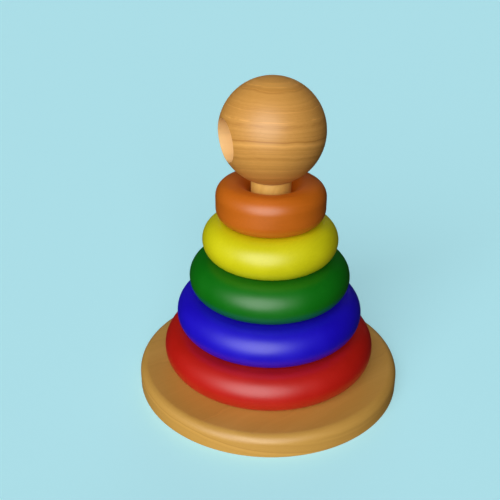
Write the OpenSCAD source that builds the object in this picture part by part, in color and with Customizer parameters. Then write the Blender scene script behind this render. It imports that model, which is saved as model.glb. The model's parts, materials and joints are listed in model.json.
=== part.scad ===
// Wooden ring-stacking pyramid: a round base with a dowel peg, five painted rings that
// grow smaller upwards, and a drilled wooden ball that caps the peg.
// The origin is the centre of the base's underside, and +Z runs up the peg.

/* [Base] */
// Diameter of the base disc
base_d = 125; // [112:1:160]
// Thickness of the base disc
base_h = 10.6; // [9:0.2:16]
// Radius of the base's top edge
base_top_round = 4.1; // [1:0.1:6]
// Radius of the base's bottom edge
base_bottom_round = 0.9; // [0.3:0.1:2]

/* [Peg] */
// Diameter of the dowel
peg_d = 18; // [14:0.5:19]
// Depth of the glued seat in the base
peg_seat_h = 6; // [4:0.5:6.5]
// Chamfer on the peg's top edge
peg_chamfer = 1.5; // [0.5:0.1:3]

/* [Rings] */
// Thickness of every ring
ring_h = 18.3; // [16:0.1:22]
// Outside diameter of the red ring, the lowest
red_d = 100; // [90:0.5:110]
// Outside diameter of the blue ring
blue_d = 87; // [78:0.5:89]
// Outside diameter of the green ring
green_d = 74.5; // [72:0.5:77]
// Outside diameter of the yellow ring
yellow_d = 62; // [60:0.5:71]
// Outside diameter of the orange ring, the highest
orange_d = 49.5; // [48:0.5:59]
// Edge radius on the outside of the orange ring
orange_round = 6.5; // [3:0.1:7]
// Diameter of the hole through every ring
ring_bore_d = 20.5; // [19.5:0.1:22]
// Edge radius where the hole meets a ring's faces
ring_bore_round = 6.5; // [2:0.1:7]

/* [Ball] */
// Diameter of the ball
ball_d = 46.6; // [45:0.1:52]
// Height of the ball's socket rim above the orange ring
ball_gap = 1.7; // [0.5:0.1:4]
// Depth of the socket above its rim
socket_h = 16; // [8:0.5:18]
// Play of the peg in the socket, on the diameter
socket_play = 0.5; // [0.2:0.1:1]
// Hairline gap between the peg's end and the end of the socket
rest_gap = 0.05; // [0.05:0.05:0.2]
// Diameter of the blind hole in the ball's side
side_bore_d = 18.9; // [14:0.1:19]
// Depth of the side hole, along its axis from the ball's surface
side_bore_h = 10.6; // [5:0.1:10.8]
// Direction that the side hole faces, anticlockwise from +X
side_bore_azimuth = 201; // [0:1:359]
// Slope of the side hole, downwards out of its mouth
side_bore_drop = 5; // [0:1:8]
// Edge break at the ball's two mouths
mouth_chamfer = 0.5; // [0.2:0.1:1]

/* [Screw] */
// Diameter of the screw that holds the peg
screw_d = 4; // [3:0.5:5]
// Diameter of the screw's countersunk head
screw_head_d = 8; // [7:0.5:9]
// Length of the screw, with its head
screw_l = 30; // [20:1:40]
// Depth of the head below the base's underside
screw_sink = 0.8; // [0.5:0.1:1]

/* [Hidden] */

$fn = 96;
wood = "burlywood";
steel = "silver";
// Cutting tools reach this far past the faces they cut.
cut = 1;

base_r = base_d / 2;
peg_r = peg_d / 2;
peg_z = base_h - peg_seat_h;

red_z = base_h;
blue_z = red_z + ring_h;
green_z = blue_z + ring_h;
yellow_z = green_z + ring_h;
orange_z = yellow_z + ring_h;
stack_top = orange_z + ring_h;
half_round = ring_h / 2;

ball_r = ball_d / 2;
socket_r = peg_r + socket_play / 2;
socket_rim_drop = sqrt(ball_r * ball_r - socket_r * socket_r);
ball_z = stack_top + ball_gap + socket_rim_drop;
socket_rim_z = ball_z - socket_rim_drop;
peg_top = socket_rim_z + socket_h - rest_gap;

side_bore_r = side_bore_d / 2;
side_bore_end = ball_r - side_bore_h;
side_rim = sqrt(ball_r * ball_r - side_bore_r * side_bore_r);

screw_r = screw_d / 2;
screw_head_r = screw_head_d / 2;
screw_head_h = screw_head_r - screw_r;
screw_tip_h = screw_d;
drive_slot_w = 1.2;
drive_slot_l = screw_head_d * 0.55;
drive_slot_h = screw_head_h * 0.7;

// Half of a rectangular section with its outer corners rounded: r wide, h tall.
module rounded_disc_section(r, h, top_round, bottom_round) {
    square([r - top_round, h]);
    square([r - bottom_round, h - top_round]);
    translate([0, bottom_round])
        square([r, h - top_round - bottom_round]);
    translate([r - top_round, h - top_round])
        circle(r = top_round);
    translate([r - bottom_round, bottom_round])
        circle(r = bottom_round);
}

// Section of a ring, from its hole to its outside, with round edges on both sides.
module ring_section(outer_r, outer_round) {
    bore_r = ring_bore_d / 2;
    wall_h = ring_h - 2 * outer_round;
    face_w = outer_r - outer_round - bore_r - ring_bore_round;
    translate([bore_r + ring_bore_round, 0])
        square([face_w, ring_h]);
    translate([bore_r, ring_bore_round])
        square([outer_r - outer_round - bore_r, ring_h - 2 * ring_bore_round]);
    for (y = [ring_bore_round, ring_h - ring_bore_round])
        translate([bore_r + ring_bore_round, y])
            circle(r = ring_bore_round);
    for (y = wall_h > 0 ? [outer_round, ring_h - outer_round] : [outer_round])
        translate([outer_r - outer_round, y])
            circle(r = outer_round);
    if (wall_h > 0)
        translate([outer_r - outer_round, outer_round])
            square([outer_round, wall_h]);
}

module ring(diameter, z, paint, outer_round = half_round) {
    color(paint)
        translate([0, 0, z])
            rotate_extrude()
                ring_section(diameter / 2, outer_round);
}

// The screw's outline, which is also the hole that it fills.
module screw_body() {
    translate([0, 0, screw_sink])
        rotate_extrude()
            polygon([
                [0, 0],
                [screw_head_r, 0],
                [screw_r, screw_head_h],
                [screw_r, screw_l - screw_tip_h],
                [0, screw_l]
            ]);
}

module drive_slot() {
    translate([-drive_slot_l / 2, -drive_slot_w / 2, screw_sink - cut])
        cube([drive_slot_l, drive_slot_w, drive_slot_h + cut]);
}

module base() {
    color(wood)
        difference() {
            rotate_extrude()
                rounded_disc_section(base_r, base_h, base_top_round, base_bottom_round);
            translate([0, 0, peg_z])
                cylinder(h = peg_seat_h + cut, r = peg_r);
            screw_body();
            translate([0, 0, -cut])
                cylinder(h = screw_sink + cut, r = screw_head_r);
        }
}

module peg() {
    color(wood)
        difference() {
            union() {
                translate([0, 0, peg_z])
                    cylinder(h = peg_top - peg_chamfer - peg_z, r = peg_r);
                translate([0, 0, peg_top - peg_chamfer])
                    cylinder(h = peg_chamfer, r1 = peg_r, r2 = peg_r - peg_chamfer);
            }
            screw_body();
        }
}

module peg_screw() {
    color(steel)
        difference() {
            screw_body();
            drive_slot();
            rotate([0, 0, 90])
                drive_slot();
        }
}

module red_ring() {
    ring(red_d, red_z, "firebrick");
}

module blue_ring() {
    ring(blue_d, blue_z, "mediumblue");
}

module green_ring() {
    ring(green_d, green_z, "darkgreen");
}

module yellow_ring() {
    ring(yellow_d, yellow_z, "gold");
}

module orange_ring() {
    ring(orange_d, orange_z, "chocolate", orange_round);
}

// A blind hole up +Z from floor_z, whose mouth meets the ball at rim_z.
module mouth(r, floor_z, rim_z) {
    translate([0, 0, floor_z])
        cylinder(h = ball_r + cut - floor_z, r = r);
    translate([0, 0, rim_z - mouth_chamfer])
        cylinder(h = 2 * mouth_chamfer, r1 = r, r2 = r + 2 * mouth_chamfer);
}

module ball() {
    color(wood)
        translate([0, 0, ball_z])
            difference() {
                sphere(r = ball_r);
                rotate([180, 0, 0])
                    mouth(socket_r, socket_rim_drop - socket_h, socket_rim_drop);
                rotate([0, 90 + side_bore_drop, side_bore_azimuth])
                    mouth(side_bore_r, side_bore_end, side_rim);
            }
}

base();
peg();
peg_screw();
red_ring();
blue_ring();
green_ring();
yellow_ring();
orange_ring();
ball();
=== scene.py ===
"""A wooden ring-stacking pyramid: meshes, materials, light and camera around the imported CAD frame.

All lengths are in metres, in the frame of the CAD model: +Z up the peg, origin under the base.
"""

import json
import math

import bmesh
import bpy
from mathutils import Matrix, Vector


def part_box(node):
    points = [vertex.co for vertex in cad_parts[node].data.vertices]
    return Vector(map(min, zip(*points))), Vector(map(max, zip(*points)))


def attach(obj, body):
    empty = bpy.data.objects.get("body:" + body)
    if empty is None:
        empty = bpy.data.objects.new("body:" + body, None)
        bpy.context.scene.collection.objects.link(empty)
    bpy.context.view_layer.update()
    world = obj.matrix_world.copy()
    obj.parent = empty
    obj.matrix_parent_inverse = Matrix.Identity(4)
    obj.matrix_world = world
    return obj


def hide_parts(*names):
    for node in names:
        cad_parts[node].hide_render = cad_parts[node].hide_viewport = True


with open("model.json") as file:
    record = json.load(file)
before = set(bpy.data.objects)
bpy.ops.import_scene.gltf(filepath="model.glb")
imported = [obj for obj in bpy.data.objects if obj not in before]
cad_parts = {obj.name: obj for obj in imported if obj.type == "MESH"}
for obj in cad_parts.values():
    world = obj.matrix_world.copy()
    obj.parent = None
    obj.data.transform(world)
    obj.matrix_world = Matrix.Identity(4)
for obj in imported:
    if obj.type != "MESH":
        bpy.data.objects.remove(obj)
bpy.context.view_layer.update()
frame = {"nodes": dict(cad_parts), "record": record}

MM = 0.001

# The rings from the base up. Each colour is the stem of a CAD node, a body and a paint material.
RING_COLOURS = ("red", "blue", "green", "yellow", "orange")
# Colour of each paint, linear.
PAINTS = {
    "red": (0.55, 0.008, 0.002),
    "blue": (0.010, 0.0008, 0.62),
    "green": (0.001, 0.170, 0.002),
    "yellow": (0.72, 0.69, 0.002),
    "orange": (0.61, 0.145, 0.005),
}
# Wood tones, linear: the palest earlywood, the middle, the darkest thin line, and bare wood in a hole,
# kept paler than bare wood alone so that it also paints in the highlight on the hole's lit inner wall.
WOOD_PALE = (0.80, 0.425, 0.105)
WOOD_MID = (0.70, 0.345, 0.067)
WOOD_DARK = (0.48, 0.195, 0.030)
WOOD_BARE_AND_HIGHLIGHT = (0.92, 0.62, 0.28)
# Factors on those tones for each wooden piece, because each comes from its own board. The peg's are also
# raised as painted light, making up for the shade the ball casts on it.
WOOD_TINT = {
    "base": (0.88, 0.95, 0.86),
    "peg": (1.09, 1.28, 1.33),
    "ball": (0.97, 0.92, 0.85),
}
STEEL_COLOUR = (0.56, 0.56, 0.54)
# Index of refraction of the oil on the wood and of the lacquer on the rings.
FINISH_IOR = 1.5

# Scales of the wood's patterns, per millimetre: along the fibres, across them, and up through the layers.
WAVE_SCALE = (0.012, 0.030, 0.030)
RIPPLE_SCALE = (0.10, 0.16, 0.16)
STREAK_SCALE = (0.03, 1.6, 1.6)
FADE_SCALE = (0.05, 0.4, 0.9)
PORE_SCALE = (0.45, 5.5, 5.5)
# Scales of the lacquer's patterns: clouding, the grain that tells through, orange peel and scuffs.
CLOUD_SCALE = (0.06, 0.06, 0.06)
GRAIN_SCALE = (0.05, 1.1, 1.1)
PEEL_SCALE = (0.9, 0.9, 0.9)
SCUFF_SCALE = (0.5, 0.5, 0.12)
# How far, and how many degrees, the lacquer's patterns move from one ring to the next.
PATTERN_STEP = (17.0, 9.0, 5.0)
PATTERN_TURN = 31.0
# Scales of the steel's clouded plating and turning marks, and of the floor's faint flecks.
PLATING_SCALE = (0.7, 0.7, 0.7)
MARK_SCALE = (2.0, 2.0, 9.0)
FLECK_SCALE = (0.25, 0.25, 0.25)

# The floor's colour, and the strength of its own glow, which evens out its shadows.
FLOOR_COLOUR = (0.40, 0.72, 0.79)
FLOOR_GLOW = 0.5
# The floor's colour once it is lit, so that the surroundings beyond it can match.
FLOOR_SEEN = (0.406, 0.727, 0.797)
# How far the floor lies under the base, and how wide it is in base radii.
FLOOR_GAP = 0.05 * MM
FLOOR_WIDTH = 200
# The faint light that the surroundings give.
SKY_COLOUR = (0.92, 0.97, 1.0)
SKY_STRENGTH = 0.014

# The camera: its place in base radii, its tilt and roll in degrees, and its lens in millimetres.
CAMERA_PLACE = (-0.147, -5.035, 3.642)
CAMERA_PITCH = 26.88
CAMERA_ROLL = 0.31
CAMERA_LENS = 55.2
SENSOR_WIDTH = 36.0

# How finely round shapes are cut, and the angle from which an edge stays sharp.
LATHE_SEGMENTS = 256
ARC_STEP = math.radians(4)
SHARP_ANGLE = math.radians(32)
# Points closer together than this are one point, and points this close to the axis lie on it.
SAME_POINT = 1e-7
ON_AXIS = 1e-9
# Where an arc that rounds a 45 degree corner begins, in radii of the arc: the tangent of 22.5 degrees.
CORNER_START = 0.414


# ---------------------------------------------------------------- outlines and meshes


def arc(centre, radius, start, end):
    """Points of an arc in the (radius, height) plane. Angles are in degrees, from outwards towards up."""
    a, b = math.radians(start), math.radians(end)
    steps = max(2, math.ceil(abs(b - a) / ARC_STEP))
    return [
        (
            centre[0] + radius * math.cos(a + (b - a) * i / steps),
            centre[1] + radius * math.sin(a + (b - a) * i / steps),
        )
        for i in range(steps + 1)
    ]


def without_repeats(outline):
    """The outline with points that fall on their neighbour left out."""
    kept = []
    for p in outline:
        if not kept or math.dist(p, kept[-1]) > SAME_POINT:
            kept.append(p)
    return kept


def piece_of(name, bm):
    """A new object in the scene, made of a finished bmesh."""
    mesh = bpy.data.meshes.new(name)
    bm.to_mesh(mesh)
    bm.free()
    piece = bpy.data.objects.new(name, mesh)
    bpy.context.scene.collection.objects.link(piece)
    return piece


def lathe(name, outline, hollow=False):
    """A closed solid turned about +Z from (radius, height) points. A hollow one stays off the axis."""
    points = without_repeats(outline)
    if hollow and math.dist(points[0], points[-1]) < SAME_POINT:
        points.pop()
    bm = bmesh.new()
    rings = []
    for r, z in points:
        if r < ON_AXIS:
            rings.append([bm.verts.new((0, 0, z))])
            continue
        angles = [2 * math.pi * k / LATHE_SEGMENTS for k in range(LATHE_SEGMENTS)]
        rings.append([bm.verts.new((r * math.cos(a), r * math.sin(a), z)) for a in angles])
    pairs = list(zip(rings, rings[1:]))
    if hollow:
        pairs.append((rings[-1], rings[0]))
    for low, high in pairs:
        for k in range(LATHE_SEGMENTS):
            j = (k + 1) % LATHE_SEGMENTS
            corners = [low[k % len(low)], low[j % len(low)], high[j % len(high)], high[k % len(high)]]
            bm.faces.new(list(dict.fromkeys(corners)))
    bmesh.ops.recalc_face_normals(bm, faces=bm.faces)
    return piece_of(name, bm)


def block(name, size, height):
    """A box centred on the axis at a height, for cutting slots."""
    bm = bmesh.new()
    fitted = Matrix.Translation((0, 0, height)) @ Matrix.Diagonal((*size, 1))
    bmesh.ops.create_cube(bm, size=1, matrix=fitted)
    return piece_of(name, bm)


def smooth(piece):
    """Smooth shading that keeps true corners sharp."""
    piece.data.shade_smooth()
    piece.data.set_sharp_from_angle(angle=SHARP_ANGLE)


def cut_away(piece, cutter):
    """Takes the cutter's shape out of the piece, then deletes the cutter."""
    tool = piece.modifiers.new("cut", "BOOLEAN")
    tool.operation = "DIFFERENCE"
    tool.solver = "EXACT"
    tool.object = cutter
    graph = bpy.context.evaluated_depsgraph_get()
    mesh = bpy.data.meshes.new_from_object(piece.evaluated_get(graph))
    piece.modifiers.clear()
    old = piece.data
    piece.data = mesh
    bpy.data.meshes.remove(old)
    bpy.data.objects.remove(cutter)


def place(piece, body, slot, *nodes):
    """Puts a finished piece in the model in place of its CAD nodes."""
    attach(piece, body)
    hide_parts(*nodes)


# ---------------------------------------------------------------- node graphs


class Graph:
    """A material's node tree, with one short call for each kind of node."""

    def __init__(self, name):
        self.material = bpy.data.materials.new(name)
        self.material.use_nodes = True
        self.tree = self.material.node_tree
        self.tree.nodes.clear()
        self.shader = self.add("ShaderNodeBsdfPrincipled")
        out = self.add("ShaderNodeOutputMaterial")
        self.tree.links.new(self.shader.outputs[0], out.inputs[0])

    def add(self, kind, **settings):
        node = self.tree.nodes.new(kind)
        for key, value in settings.items():
            setattr(node, key, value)
        return node

    def feed(self, socket, value):
        """Links an output to the socket, or sets the socket to a number or colour."""
        if isinstance(value, bpy.types.NodeSocket):
            self.tree.links.new(value, socket)
        elif hasattr(value, "__len__") and len(value) == 3 and len(socket.default_value) == 4:
            socket.default_value = (*value, 1.0)
        else:
            socket.default_value = value

    def place(self, shift=(0, 0, 0), turn=(0, 0, 0), scale=(1, 1, 1), source=None):
        """Object coordinates in millimetres, then moved, turned and scaled."""
        if source is None:
            to_mm = self.add("ShaderNodeMapping", vector_type="POINT")
            self.feed(to_mm.inputs["Scale"], (1 / MM, 1 / MM, 1 / MM))
            self.feed(to_mm.inputs["Vector"], self.add("ShaderNodeTexCoord").outputs["Object"])
            source = to_mm.outputs[0]
        node = self.add("ShaderNodeMapping", vector_type="POINT")
        self.feed(node.inputs["Location"], shift)
        self.feed(node.inputs["Rotation"], [math.radians(a) for a in turn])
        self.feed(node.inputs["Scale"], scale)
        self.feed(node.inputs["Vector"], source)
        return node.outputs[0]

    def noise(self, vector, detail, roughness=0.5, w=None):
        """Smooth noise over a vector, or over the number w alone."""
        node = self.add("ShaderNodeTexNoise", noise_dimensions="3D" if w is None else "1D")
        if w is None:
            self.feed(node.inputs["Vector"], vector)
        else:
            self.feed(node.inputs["W"], w)
        self.feed(node.inputs["Scale"], 1.0)
        self.feed(node.inputs["Detail"], detail)
        self.feed(node.inputs["Roughness"], roughness)
        return node.outputs[0]

    def math(self, operation, a, b=0.0, c=0.0):
        node = self.add("ShaderNodeMath", operation=operation)
        for socket, value in zip(node.inputs, (a, b, c)):
            self.feed(socket, value)
        return node.outputs[0]

    def axes(self, vector):
        node = self.add("ShaderNodeSeparateXYZ")
        self.feed(node.inputs[0], vector)
        return node.outputs[0], node.outputs[1], node.outputs[2]

    def span(self, value, low, high, to_low=0.0, to_high=1.0):
        """The value, with low to high stretched to the new limits and held inside them."""
        node = self.add("ShaderNodeMapRange", clamp=True)
        for socket, v in zip(node.inputs, (value, low, high, to_low, to_high)):
            self.feed(socket, v)
        return node.outputs[0]

    def mix(self, share, a, b):
        node = self.add("ShaderNodeMix", data_type="RGBA", blend_type="MIX")
        self.feed(node.inputs[0], share)
        self.feed(node.inputs[6], a)
        self.feed(node.inputs[7], b)
        return node.outputs[2]

    def bump(self, height, depth, strength, below=None):
        """A bump normal. Height is a value from 0 to 1 that stands for depth metres."""
        node = self.add("ShaderNodeBump")
        self.feed(node.inputs["Strength"], strength)
        self.feed(node.inputs["Distance"], depth)
        self.feed(node.inputs["Height"], height)
        if below is not None:
            self.feed(node.inputs["Normal"], below)
        return node.outputs[0]

    def set(self, **sockets):
        """Sets the shader's own sockets, by name with _ for a space."""
        for key, value in sockets.items():
            self.feed(self.shader.inputs[key.replace("_", " ")], value)


# ---------------------------------------------------------------- materials


def growth_layers(g, at, pith, sway, fan):
    """Distance from the pith, in millimetres, with a gentle wave. The layers lie one over another along Z.

    fan is a reach and a level: the layers draw together towards a line at that level, that far off
    along -Y. sway is the size of the wave.
    """
    along, across, up = g.axes(at)
    if fan is not None:
        reach, level = fan
        spread = g.math("DIVIDE", reach, g.math("ADD", across, reach))
        up = g.math("MULTIPLY_ADD", g.math("SUBTRACT", up, level), spread, level)
    wave_height, ripple_height = 7.0 * sway, 2.4 * sway
    mean_bend = (wave_height + ripple_height) / 2
    wave = g.noise(g.place(scale=WAVE_SCALE, source=at), detail=1.0)
    ripple = g.noise(g.place(scale=RIPPLE_SCALE, source=at), detail=1.0)
    bend = g.math("MULTIPLY_ADD", wave, wave_height, g.math("MULTIPLY", ripple, ripple_height))
    depth = g.math("ADD", g.math("ADD", up, bend), pith - mean_bend)
    squares = g.math("ADD", g.math("MULTIPLY", depth, depth), g.math("MULTIPLY", across, across))
    return g.math("SUBTRACT", g.math("SQRT", squares), pith)


def thin_lines(g, height, spacing, offset):
    """Fine lines at uneven spacing: 1 on a line and 0 between. The offset picks another set of lines.

    Noise along the height crosses its middle value at each line.
    """
    middle, half_width = 0.5, 0.30 / 11.0
    drift = g.noise(None, w=g.math("MULTIPLY_ADD", height, 1 / spacing, offset), detail=1.0, roughness=0.4)
    away = g.math("ABSOLUTE", g.math("SUBTRACT", drift, middle))
    return g.span(away, 0.0, half_width, 1.0, 0.0)


def single_line(g, height, level, half_width):
    """One line at a chosen level: 1 on the line and 0 away from it."""
    away = g.math("ABSOLUTE", g.math("SUBTRACT", height, level))
    return g.span(away, 0.0, half_width, 1.0, 0.0)


def grain_lines(g, at, height, layer, bold_line, pale_side):
    """The thin dark and the thin light lines of the growth layers, which come in clusters and fade out."""
    bold_half_width, pale_half_width = 0.45, 1.3
    dark_share = 0.55
    fade = g.span(g.noise(g.place(scale=FADE_SCALE, source=at), detail=1.0), 0.38, 0.62)
    clusters = g.span(g.noise(None, w=g.math("DIVIDE", height, 2.8 * layer), detail=0.0), 0.40, 0.58)
    broken = g.math("MULTIPLY", clusters, g.span(fade, 0.0, 1.0, 0.2, 1.0))
    fainter = g.math("MULTIPLY", broken, dark_share)
    dark = g.math("MULTIPLY", thin_lines(g, height, 2.0 * layer, 7.0), fainter)
    light = g.math("MULTIPLY", thin_lines(g, height, 2.6 * layer, 90.0), broken)
    if bold_line is not None:
        dark = g.math("MAXIMUM", dark, single_line(g, height, bold_line, bold_half_width))
        light = g.math("MAXIMUM", light, single_line(g, height, bold_line + pale_side, pale_half_width))
    return dark, light


def wood(
    name, tint, shift, layer, contrast, turn=(0, 0, 0), pith=260.0, fan=None, sway=1.0,
    dull=0.46, bold_line=None, pale_side=-1.0, bare_and_highlight=None,
):
    """Oiled wood. Its fibres run along local X and its growth layers lie one over another along local Z.

    layer is the layers' mean thickness, pith the distance down to their centre, and sway the size of
    their wave. dull is the mean roughness. bold_line is the height of one strong latewood line, with a
    pale band pale_side away. The last argument is a function of the graph that gives the share of bare,
    unoiled wood, such as in a drilled hole; that colour is also a painted highlight on the hole's lit
    wall. Lengths are in millimetres.
    """
    streak_share, band_share, broad_share = 0.25, 0.45, 0.3
    light_strength, dark_strength, pit_strength = 0.82 * contrast, 0.60 * contrast, 0.25 * contrast
    bare_and_highlight_strength = 0.8
    smoother_where_pale = 0.04
    g = Graph(name)
    at = g.place(turn=turn, source=g.place(shift=shift))
    height = growth_layers(g, at, pith, sway, fan)
    streaks = g.noise(g.place(scale=STREAK_SCALE, source=at), detail=3.0, roughness=0.6)
    pits = g.span(g.noise(g.place(scale=PORE_SCALE, source=at), detail=1.0), 0.66, 0.78)
    broad = g.noise(None, w=g.math("DIVIDE", height, 2.2 * layer), detail=2.0)
    bands = g.noise(None, w=g.math("MULTIPLY_ADD", height, 1 / layer, 40.0), detail=2.0, roughness=0.6)
    layered = g.math("MULTIPLY_ADD", bands, band_share, g.math("MULTIPLY", broad, broad_share))
    tone = g.math("MULTIPLY_ADD", streaks, streak_share, layered)
    dark_lines, light_lines = grain_lines(g, at, height, layer, bold_line, pale_side)

    pale, mid, dark = ([a * b for a, b in zip(c, tint)] for c in (WOOD_PALE, WOOD_MID, WOOD_DARK))
    bright = [min(1.0, 1.14 * c) for c in pale]
    colour = g.mix(g.span(tone, 0.30, 0.72), g.mix(0.25 * contrast, mid, dark), pale)
    colour = g.mix(g.math("MULTIPLY", light_lines, light_strength), colour, bright)
    colour = g.mix(g.math("MULTIPLY", dark_lines, dark_strength), colour, dark)
    colour = g.mix(g.math("MULTIPLY", pits, pit_strength), colour, dark)
    # Bare wood in the drilled hole, pale enough to be partly a painted highlight on its lit inner wall.
    if bare_and_highlight is not None:
        colour = g.mix(g.math("MULTIPLY", bare_and_highlight(g), bare_and_highlight_strength), colour, WOOD_BARE_AND_HIGHLIGHT)

    roughness = g.span(tone, 0.3, 0.7, dull + smoother_where_pale, dull - smoother_where_pale)
    dents = g.math("MULTIPLY_ADD", pits, 0.5, g.math("MULTIPLY", dark_lines, 0.3))
    relief = g.bump(g.math("SUBTRACT", streaks, dents), 0.06 * MM, 0.5)
    g.set(Base_Color=colour, Roughness=roughness, IOR=FINISH_IOR, Specular_IOR_Level=0.80, Normal=relief)
    return g.material


def inside_hole(centre, axis, radius):
    """A function that gives, for a graph, 1 inside a hole and 0 outside it.

    The hole runs from the centre out along the axis.
    """
    soft_edge, soft_end = 0.15 * MM, 1 * MM

    def share(g):
        offset = g.add("ShaderNodeVectorMath", operation="SUBTRACT")
        g.feed(offset.inputs[0], g.add("ShaderNodeTexCoord").outputs["Object"])
        g.feed(offset.inputs[1], centre)
        apart = g.add("ShaderNodeVectorMath", operation="CROSS_PRODUCT")
        g.feed(apart.inputs[0], offset.outputs[0])
        g.feed(apart.inputs[1], axis)
        length = g.add("ShaderNodeVectorMath", operation="LENGTH")
        g.feed(length.inputs[0], apart.outputs[0])
        near = g.span(length.outputs["Value"], radius, radius + soft_edge, 1.0, 0.0)
        ahead = g.add("ShaderNodeVectorMath", operation="DOT_PRODUCT")
        g.feed(ahead.inputs[0], offset.outputs[0])
        g.feed(ahead.inputs[1], axis)
        return g.math("MULTIPLY", near, g.span(ahead.outputs["Value"], 0.0, soft_end))

    return share


def paint(name, colour, seed, bore_r):
    """Satin lacquer over sanded wood, with the grain just telling through, rubbed where the peg slides."""
    grain_share, cloud_share = 0.35, 0.65
    rubbed_width, scuff_strength = 1.2, 0.45
    g = Graph(name)
    at = g.place(shift=[step * seed for step in PATTERN_STEP], turn=(0, 0, PATTERN_TURN * seed))
    cloud = g.noise(g.place(scale=CLOUD_SCALE, source=at), detail=2.0)
    grain = g.noise(g.place(scale=GRAIN_SCALE, source=at), detail=3.0, roughness=0.6)
    peel = g.noise(g.place(scale=PEEL_SCALE, source=at), detail=1.0)
    clouded = g.math("MULTIPLY", cloud, cloud_share)
    shade = g.span(g.math("MULTIPLY_ADD", grain, grain_share, clouded), 0.3, 0.7)
    deep = [0.90 * c for c in colour]
    bright = [min(1.0, 1.06 * c + 0.002) for c in colour]
    finish = g.mix(shade, deep, bright)

    x, y, _ = g.axes(g.place())
    from_peg = g.math("SQRT", g.math("ADD", g.math("MULTIPLY", x, x), g.math("MULTIPLY", y, y)))
    at_bore = g.span(from_peg, bore_r / MM, bore_r / MM + rubbed_width, 1.0, 0.0)
    scuff = g.span(g.noise(g.place(scale=SCUFF_SCALE, source=at), detail=3.0), 0.52, 0.66)
    worn = g.math("MULTIPLY", g.math("MULTIPLY", at_bore, scuff), scuff_strength)
    finish = g.mix(worn, finish, WOOD_MID)

    soft = g.bump(peel, 0.03 * MM, 0.35)
    g.set(Base_Color=finish, Roughness=g.span(cloud, 0.3, 0.7, 0.38, 0.45), IOR=FINISH_IOR)
    g.set(Specular_IOR_Level=0.74, Normal=g.bump(grain, 0.04 * MM, 0.4, below=soft))
    return g.material


def steel(name):
    """Zinc-plated steel with fine turning marks and a clouded plating."""
    g = Graph(name)
    at = g.place()
    cloud = g.noise(g.place(scale=PLATING_SCALE, source=at), detail=3.0)
    marks = g.noise(g.place(scale=MARK_SCALE, source=at), detail=2.0)
    dull = [0.75 * c for c in STEEL_COLOUR]
    g.set(Base_Color=g.mix(cloud, dull, STEEL_COLOUR), Roughness=g.span(cloud, 0.3, 0.7, 0.28, 0.42))
    g.set(Metallic=1.0, Normal=g.bump(marks, 0.02 * MM, 0.4))
    return g.material


def floor_finish(name):
    """A plain pale sheet that is seen from above only, so the underside can be looked at."""
    g = Graph(name)
    fleck = g.noise(g.place(scale=FLECK_SCALE), detail=2.0)
    g.set(Base_Color=g.mix(fleck, [0.98 * c for c in FLOOR_COLOUR], FLOOR_COLOUR), Roughness=1.0)
    g.set(Specular_IOR_Level=0.0, Emission_Color=FLOOR_COLOUR, Emission_Strength=FLOOR_GLOW)
    g.set(Alpha=g.math("SUBTRACT", 1.0, g.add("ShaderNodeNewGeometry").outputs["Backfacing"]))
    return g.material


# ---------------------------------------------------------------- sizes from the CAD frame


def radii(node):
    """Smallest and largest distance of a CAD node's points from the peg's axis."""
    reach = [math.hypot(v.co.x, v.co.y) for v in frame["nodes"][node].data.vertices]
    return min(reach), max(reach)


def heights(node):
    """Lowest and highest level of a CAD node."""
    low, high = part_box(node)
    return low.z, high.z


def side_hole():
    """Radius, outward direction and length of the hole in the ball's side, from the record's mount."""
    mount = next(m for m in frame["record"]["mounts"] if m["name"] == "side_hole")
    size = mount["dims"]
    return size["r_mm"] * MM, Vector(mount["axis"]).normalized(), size["length_mm"] * MM


BASE_R = radii("base")[1]
PEG_R = radii("peg")[1]
PEG_FOOT, PEG_TOP = heights("peg")
BALL_TOP = heights("ball")[1]
BALL_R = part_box("ball")[1].x
# Play around the peg in the ball's socket, and the gap over the peg's end.
SOCKET_PLAY = 0.25 * MM
PEG_GAP = 0.05 * MM


# ---------------------------------------------------------------- camera, light and floor


def make_camera():
    """The viewpoint, higher than the ball and five base radii in front, looking 27 degrees down."""
    data = bpy.data.cameras.new("camera")
    data.sensor_width = SENSOR_WIDTH
    data.lens = CAMERA_LENS
    data.clip_start = 0.01
    camera = bpy.data.objects.new("camera", data)
    tilt = Matrix.Rotation(math.pi / 2 - math.radians(CAMERA_PITCH), 4, "X")
    roll = Matrix.Rotation(math.radians(CAMERA_ROLL), 4, "Z")
    camera.matrix_world = Matrix.Translation(Vector(CAMERA_PLACE) * BASE_R) @ tilt @ roll
    bpy.context.scene.collection.objects.link(camera)
    bpy.context.scene.camera = camera


def softbox(name, azimuth, elevation, spread, strength, glossy=True, shadows=True, only=None):
    """A far, wide softbox, as a sun. Azimuth 0 is in front, on -Y, and 90 is on +X.

    spread is its apparent width in degrees. only is a piece to light alone.
    """
    data = bpy.data.lights.new(name, "SUN")
    data.angle = math.radians(spread)
    data.energy = strength
    light = bpy.data.objects.new(name, data)
    light.visible_glossy = glossy
    data.use_shadow = shadows
    a, e = math.radians(azimuth), math.radians(elevation)
    towards = Vector((math.sin(a) * math.cos(e), -math.cos(a) * math.cos(e), math.sin(e)))
    light.rotation_euler = towards.to_track_quat("Z", "Y").to_euler()
    bpy.context.scene.collection.objects.link(light)
    if only is not None:
        lit = bpy.data.collections.new(name)
        lit.objects.link(only)
        light.light_linking.receiver_collection = lit


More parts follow.
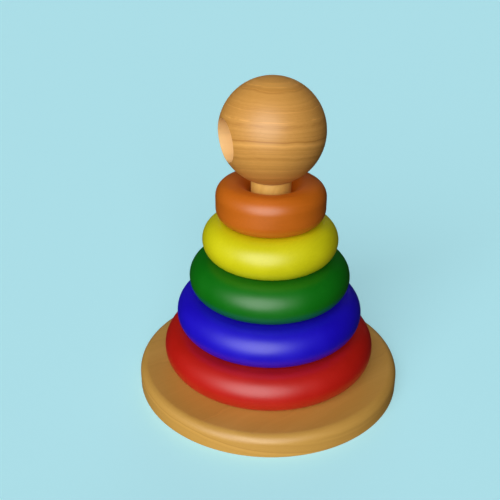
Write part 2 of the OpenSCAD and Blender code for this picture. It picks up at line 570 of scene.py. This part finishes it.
def make_world():
    """Pale surroundings: dim for lighting, and as bright as the floor where the camera sees them."""
    world = bpy.data.worlds.new("studio")
    bpy.context.scene.world = world
    world.use_nodes = True
    tree = world.node_tree
    tree.nodes.clear()
    fill = tree.nodes.new("ShaderNodeBackground")
    fill.inputs["Color"].default_value = (*SKY_COLOUR, 1.0)
    fill.inputs["Strength"].default_value = SKY_STRENGTH
    seen = tree.nodes.new("ShaderNodeBackground")
    seen.inputs["Color"].default_value = (*FLOOR_SEEN, 1.0)
    seen.inputs["Strength"].default_value = 1.0
    path = tree.nodes.new("ShaderNodeLightPath")
    either = tree.nodes.new("ShaderNodeMixShader")
    out = tree.nodes.new("ShaderNodeOutputWorld")
    tree.links.new(path.outputs["Is Camera Ray"], either.inputs[0])
    tree.links.new(fill.outputs[0], either.inputs[1])
    tree.links.new(seen.outputs[0], either.inputs[2])
    tree.links.new(either.outputs[0], out.inputs[0])


def make_floor():
    """A wide plain sheet just under the base, which takes shadows and sends no light back."""
    bpy.ops.mesh.primitive_plane_add(size=FLOOR_WIDTH * BASE_R)
    floor = bpy.context.object
    floor.name = "floor"
    floor.data.materials.append(floor_finish("floor_pale"))
    floor.location.z = -FLOOR_GAP
    floor.visible_diffuse = False
    floor.visible_glossy = False
    floor.visible_shadow = False


# ---------------------------------------------------------------- pieces


def make_base():
    """The turned disc, with the peg's seat on top and the screw's countersink below."""
    low, high = heights("base")
    head_r = radii("peg_screw")[1]
    shank_r = head_r / 2
    sunk = heights("peg_screw")[0]
    top_round, bottom_round, break_r = 4.1 * MM, 0.9 * MM, 0.3 * MM
    outline = [
        (shank_r, PEG_FOOT),
        (shank_r, sunk + head_r - shank_r),
        (head_r, sunk),
        *arc((head_r + break_r, low + break_r), break_r, 180, 270),
        *arc((BASE_R - bottom_round, low + bottom_round), bottom_round, 270, 360),
        *arc((BASE_R - top_round, high - top_round), top_round, 0, 90),
        *arc((PEG_R + break_r, high - break_r), break_r, 90, 180),
        (PEG_R, PEG_FOOT),
    ]
    base = lathe("base_disc", outline, hollow=True)
    smooth(base)
    grain = {"turn": (0.6, -0.6, -35), "shift": (0, 0, 31), "layer": 2.0, "sway": 0.3, "contrast": 0.65}
    look = wood("wood_base", tint=WOOD_TINT["base"], dull=0.43, bold_line=37.9, **grain)
    base.data.materials.append(look)
    place(base, "stand", "oiled_wood", "base")


def make_peg():
    """The dowel, with a softened chamfer on top and the screw's hole up its foot."""
    chamfer, soft = 1.5 * MM, 0.35 * MM
    shank_r = radii("peg_screw")[1] / 2
    tip = heights("peg_screw")[1]
    outline = [
        (0, tip),
        (shank_r, tip - 2 * shank_r),
        (shank_r, PEG_FOOT),
        (PEG_R, PEG_FOOT),
        *arc((PEG_R - soft, PEG_TOP - chamfer - soft * CORNER_START), soft, 0, 45),
        *arc((PEG_R - chamfer - soft * CORNER_START, PEG_TOP - soft), soft, 45, 90),
        (0, PEG_TOP),
    ]
    peg = lathe("peg_dowel", outline)
    smooth(peg)
    grain = {"turn": (0, 90, 20), "shift": (0, 8, 11), "pith": 34.0, "layer": 1.6, "contrast": 0.45}
    peg.data.materials.append(wood("wood_peg", tint=WOOD_TINT["peg"], **grain))
    place(peg, "stand", "oiled_wood", "peg")


def make_screw():
    """The countersunk screw, with its cross recess. It is returned, so that a light can pick it out."""
    head_r = radii("peg_screw")[1]
    shank_r = head_r / 2
    low, tip = heights("peg_screw")
    slot_length, slot_width, slot_depth = 4.4 * MM, 1.2 * MM, 1.4 * MM
    outline = [
        (0, low),
        (head_r, low),
        (shank_r, low + head_r - shank_r),
        (shank_r, tip - 2 * shank_r),
        (0, tip),
    ]
    screw = lathe("peg_screw_turned", outline)
    cut_away(screw, block("slot_x", (slot_length, slot_width, 2 * slot_depth), low))
    cut_away(screw, block("slot_y", (slot_width, slot_length, 2 * slot_depth), low))
    smooth(screw)
    screw.data.materials.append(steel("steel_zinc"))
    place(screw, "stand", "steel", "peg_screw")
    return screw


def make_ring(colour, seed):
    """A painted ring: half-round outside on the lower four, tighter corners on the orange one."""
    node = f"{colour}_ring"
    bore_r, outer_r = radii(node)
    low, high = heights(node)
    tight_round = 6.5 * MM
    outer_round = tight_round if colour == "orange" else (high - low) / 2
    outline = [
        *arc((bore_r + tight_round, low + tight_round), tight_round, 180, 270),
        *arc((outer_r - outer_round, low + outer_round), outer_round, 270, 360),
        *arc((outer_r - outer_round, high - outer_round), outer_round, 0, 90),
        *arc((bore_r + tight_round, high - tight_round), tight_round, 90, 180),
    ]
    ring = lathe(f"{node}_turned", outline, hollow=True)
    smooth(ring)
    ring.data.materials.append(paint(f"paint_{colour}", PAINTS[colour], seed, bore_r))
    place(ring, node, f"{colour}_paint", node)


def socket_cutter(centre_z, chamfer):
    """The space of the ball's socket, open below, with a hairline gap over the peg's end."""
    socket_r = PEG_R + SOCKET_PLAY
    end = PEG_TOP + PEG_GAP
    mouth_z = centre_z - math.sqrt(BALL_R**2 - socket_r**2)
    outside_z = centre_z - BALL_R - chamfer
    flared_r = socket_r + 2 * chamfer
    outline = [
        (0, end),
        (socket_r, end),
        (socket_r, mouth_z + chamfer),
        (flared_r, mouth_z - chamfer),
        (flared_r, outside_z),
        (0, outside_z),
    ]
    return lathe("socket", outline)


def make_ball():
    """The ball, turned about its side hole, then bored from below for the peg."""
    hole_r, out_of_mouth, hole_length = side_hole()
    centre = Vector((0, 0, BALL_TOP - BALL_R))
    lip, chamfer = 0.2 * MM, 0.5 * MM
    lip_r = hole_r + lip
    lip_z = math.sqrt((BALL_R - lip) ** 2 - lip_r**2)
    rim_angle = math.degrees(math.atan2(lip_z, lip_r))
    hole_end = math.sqrt(BALL_R**2 - hole_r**2) - hole_length - chamfer
    outline = [
        (0, hole_end),
        *arc((hole_r - lip, hole_end + lip), lip, -90, 0),
        *arc((lip_r, lip_z), lip, 180, rim_angle),
        *arc((0, 0), BALL_R, rim_angle, -90),
    ]
    ball = lathe("ball_turned", outline)
    facing = out_of_mouth.to_track_quat("Z", "Y").to_matrix().to_4x4()
    ball.data.transform(Matrix.Translation(centre) @ facing)
    cut_away(ball, socket_cutter(centre.z, chamfer))
    smooth(ball)
    grain = {"shift": -centre / MM, "pith": 1000.0, "fan": (118.0, 21.0), "layer": 1.6, "sway": 0.6}
    lines = {"contrast": 1.2, "bold_line": -1.2, "pale_side": -2.0}
    # The side hole's inner wall: bare wood, with a painted highlight in its colour.
    hole_bare_and_highlight = inside_hole(centre, out_of_mouth, hole_r)
    ball.data.materials.append(wood("wood_ball", tint=WOOD_TINT["ball"], bare_and_highlight=hole_bare_and_highlight, **grain, **lines))
    place(ball, "ball", "oiled_wood", "ball")


# ---------------------------------------------------------------- the scene

bpy.context.scene.view_settings.view_transform = "Standard"
make_camera()
make_world()
make_floor()
softbox("key", azimuth=-15, elevation=24, spread=62, strength=3.05)
softbox("left_fill", azimuth=-55, elevation=25, spread=50, strength=0.45, glossy=False, shadows=False)
softbox("back_fill", azimuth=172, elevation=4, spread=50, strength=1.1, glossy=False)
softbox("under_fill", azimuth=0, elevation=-90, spread=30, strength=1.6, glossy=False)
make_base()
make_peg()
screw = make_screw()
softbox("screw_glint", azimuth=0, elevation=-90, spread=120, strength=1.6, only=screw)
for number, colour in enumerate(RING_COLOURS, start=1):
    make_ring(colour, number)
make_ball()
